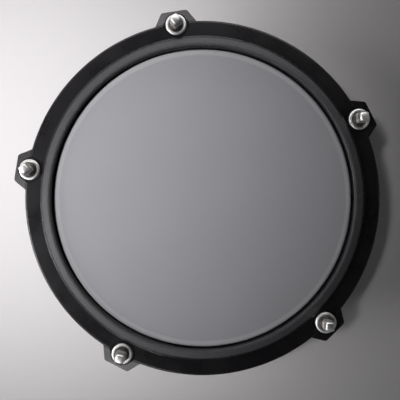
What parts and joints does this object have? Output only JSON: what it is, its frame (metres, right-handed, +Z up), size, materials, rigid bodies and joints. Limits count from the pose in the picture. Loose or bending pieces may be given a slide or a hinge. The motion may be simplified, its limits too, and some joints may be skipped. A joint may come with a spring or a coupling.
{
  "type": "electronic drum pad",
  "caption": "Round electronic drum pad with a tensioned mesh head, a rubber-capped rim hoop pulled down by square-headed rods, a jack and a rod clamp in its flat base.",
  "frame": {"origin": "on the drum's axis, in the plane of the flat base", "axes": "+Z up through the playing surface, +Y towards one lug, and the mounting rod's clamp and its wing bolt on the -Y side"},
  "size_m": [0.2436, 0.243, 0.073],
  "materials": {
    "hoop_plastic": "satin black moulded plastic",
    "shell_plastic": "fine matt black moulded plastic",
    "rim_rubber": "fine pebbled dark rubber",
    "flesh_plastic": "matt black",
    "mesh": "fine plain weave, light grey",
    "rod_chrome": "polished",
    "washer_nickel": "bright nickel",
    "screw_steel": "black-blue zinc",
    "plate_steel": "zinc-plated sheet",
    "brass": "bare",
    "ceramic": "silvered face",
    "foam": "charcoal open-cell foam",
    "pad_foam": "white double-sided foam pad",
    "grommet_rubber": "soft black",
    "jack_plastic": "black",
    "jack_nickel": "nickel plate",
    "board_green": "solder mask",
    "component": "lacquer",
    "header_white": "natural nylon",
    "lead_red": "PVC sheath",
    "lead_grey": "PVC sheath",
    "die_cast": "tumbled casting",
    "knob_plastic": "black glass-filled nylon"
  },
  "bodies": {
    "drum": {"mesh_head": "mesh", "shell": "shell_plastic", "lug_nuts": "brass", "bottom_pan": "shell_plastic", "pan_screws": "screw_steel", "trigger_plate": "plate_steel", "plate_grommets": "grommet_rubber", "plate_screws": "screw_steel", "piezo_pad": "pad_foam", "head_piezo": "brass", "head_piezo_ceramic": "ceramic", "foam_cone": "foam", "rim_piezo_pad": "pad_foam", "rim_piezo": "brass", "rim_piezo_ceramic": "ceramic", "jack_bushing": "jack_nickel", "jack_body": "jack_plastic", "jack_contacts": "brass", "jack_nut": "jack_nickel", "jack_washer": "jack_nickel", "jack_board": "board_green", "board_parts": "component", "lead_header": "header_white", "head_lead": "lead_grey", "rim_lead": "lead_red", "rod_clamp": "die_cast", "clamp_screws": "screw_steel", "clamp_nut": "screw_steel"},
    "hoop_assembly": {"hoop": "hoop_plastic", "rim_cushion": "rim_rubber", "flesh_hoop": "flesh_plastic", "tension_washers": "washer_nickel"},
    "rod_1": {"tension_rod_1": "rod_chrome"},
    "rod_2": {"tension_rod_2": "rod_chrome"},
    "rod_3": {"tension_rod_3": "rod_chrome"},
    "rod_4": {"tension_rod_4": "rod_chrome"},
    "rod_5": {"tension_rod_5": "rod_chrome"},
    "shoe": {"clamp_shoe": "die_cast"},
    "wing_bolt": {"wing_bolt": "screw_steel", "wing_knob": "knob_plastic"}
  },
  "joints": [
    {"name": "hoop_travel", "type": "slide", "parent": "drum", "child": "hoop_assembly", "axis": [0, 0, 1], "range_m": [-0.0025, 0.003]},
    {"name": "rod_1_turn", "type": "hinge", "parent": "hoop_assembly", "child": "rod_1", "pos_m": [0, 0.1157, 0.062], "axis": [0, 0, 1], "range_deg": [-901, 1081]},
    {"name": "rod_2_turn", "type": "hinge", "parent": "hoop_assembly", "child": "rod_2", "pos_m": [-0.11004, 0.03575, 0.062], "axis": [0, 0, 1], "range_deg": [-901, 1081]},
    {"name": "rod_3_turn", "type": "hinge", "parent": "hoop_assembly", "child": "rod_3", "pos_m": [-0.06801, -0.0936, 0.062], "axis": [0, 0, 1], "range_deg": [-901, 1081]},
    {"name": "rod_4_turn", "type": "hinge", "parent": "hoop_assembly", "child": "rod_4", "pos_m": [0.06801, -0.0936, 0.062], "axis": [0, 0, 1], "range_deg": [-901, 1081]},
    {"name": "rod_5_turn", "type": "hinge", "parent": "hoop_assembly", "child": "rod_5", "pos_m": [0.11004, 0.03575, 0.062], "axis": [0, 0, 1], "range_deg": [-901, 1081]},
    {"name": "shoe_travel", "type": "slide", "parent": "drum", "child": "shoe", "axis": [0, -1, 0], "range_m": [-0.00101, 0.00301]},
    {"name": "wing_bolt_turn", "type": "hinge", "parent": "shoe", "child": "wing_bolt", "pos_m": [0, -0.085, 0.015], "axis": [0, -1, 0], "range_deg": [-288, 864]}
  ],
  "couplings": [
    {"joint": "rod_1_turn", "follows": "hoop_travel", "rad_per_m": 6283.2},
    {"joint": "rod_2_turn", "follows": "hoop_travel", "rad_per_m": 6283.2},
    {"joint": "rod_3_turn", "follows": "hoop_travel", "rad_per_m": 6283.2},
    {"joint": "rod_4_turn", "follows": "hoop_travel", "rad_per_m": 6283.2},
    {"joint": "rod_5_turn", "follows": "hoop_travel", "rad_per_m": 6283.2},
    {"joint": "shoe_travel", "follows": "wing_bolt_turn", "m_per_rad": 0.00019894}
  ]
}
